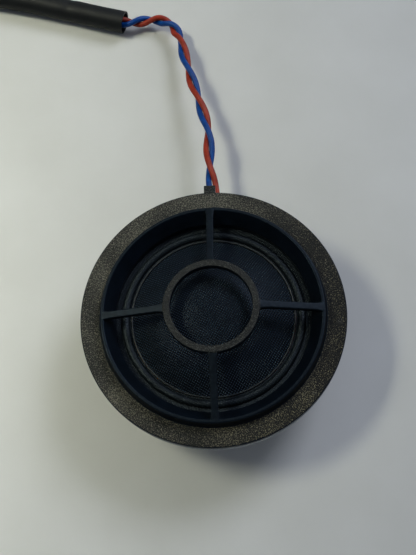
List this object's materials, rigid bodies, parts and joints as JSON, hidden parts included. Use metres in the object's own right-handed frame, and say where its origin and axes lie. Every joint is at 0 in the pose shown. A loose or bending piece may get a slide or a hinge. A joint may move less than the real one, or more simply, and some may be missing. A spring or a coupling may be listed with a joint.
{
  "type": "car dome tweeter",
  "caption": "Round car tweeter with a flat textured flange, key tab, raised collar and spoked guard ring over a fabric dome, and a twisted wire lead in a black sleeve with a plug.",
  "frame": {"origin": "centre of the flat back face that the tweeter lies on", "axes": "+Z along the sound axis towards the listener, +Y towards the key tab and the cable outlet"},
  "size_m": [0.102, 0.1102, 0.0207],
  "materials": {
    "moulded_black": "spark-textured black ABS",
    "housing_black": "fine matt black ABS",
    "gasket_foam": "light grey closed-cell foam",
    "dome_cloth": "black coated woven cloth",
    "ring_black": "black moulded",
    "former_foil": "thin foil former",
    "copper": "enamelled or bare copper",
    "plain_steel": "plain low-carbon steel",
    "nickel": "nickel-plated neodymium",
    "zinc_plate": "clear zinc plate",
    "felt": "grey wool felt",
    "phenolic": "brown phenolic board",
    "tinned_brass": "tinned brass",
    "solder": "bright tin solder",
    "capacitor_sleeve": "dark blue shrink sleeve",
    "grommet_rubber": "black rubber",
    "insulation_red": "orange-red PVC",
    "insulation_blue": "blue PVC",
    "sleeve_pvc": "dark grey-black matt PVC",
    "connector_plastic": "black PBT"
  },
  "bodies": {
    "root": {"front_bezel": "moulded_black", "mounting_gasket": "gasket_foam", "surround": "dome_cloth", "surround_mounting_ring": "ring_black", "pole_plate": "plain_steel", "magnet": "nickel", "yoke_cup": "zinc_plate", "damping_felt": "felt", "chassis_ring": "ring_black", "rear_housing": "housing_black", "terminal_board": "phenolic", "tag_negative": "tinned_brass", "tag_input": "tinned_brass", "tag_positive": "tinned_brass", "solder_negative": "solder", "solder_input": "solder", "solder_positive": "solder", "filter_capacitor": "capacitor_sleeve", "capacitor_lead_in": "solder", "capacitor_lead_out": "solder", "coil_lead_negative": "copper", "coil_lead_positive": "copper", "cable_grommet": "grommet_rubber", "lead_wire_blue": "insulation_blue", "lead_wire_red": "insulation_red", "wire_core_blue": "copper", "wire_core_red": "copper", "protective_sleeve": "sleeve_pvc", "tail_wire_blue": "insulation_blue", "tail_wire_red": "insulation_red", "connector_housing": "connector_plastic", "connector_contact_blue": "tinned_brass", "connector_contact_red": "tinned_brass"},
    "moving_coil": {"dome": "dome_cloth", "voice_coil_former": "former_foil", "voice_coil_winding": "copper"}
  },
  "joints": [
    {"name": "coil_travel", "type": "slide", "parent": "root", "child": "moving_coil", "axis": [0, 0, 1], "range_m": [-0.0004, 0.0004], "stiffness_N_per_m": 3000, "deforming": ["surround"]}
  ]
}
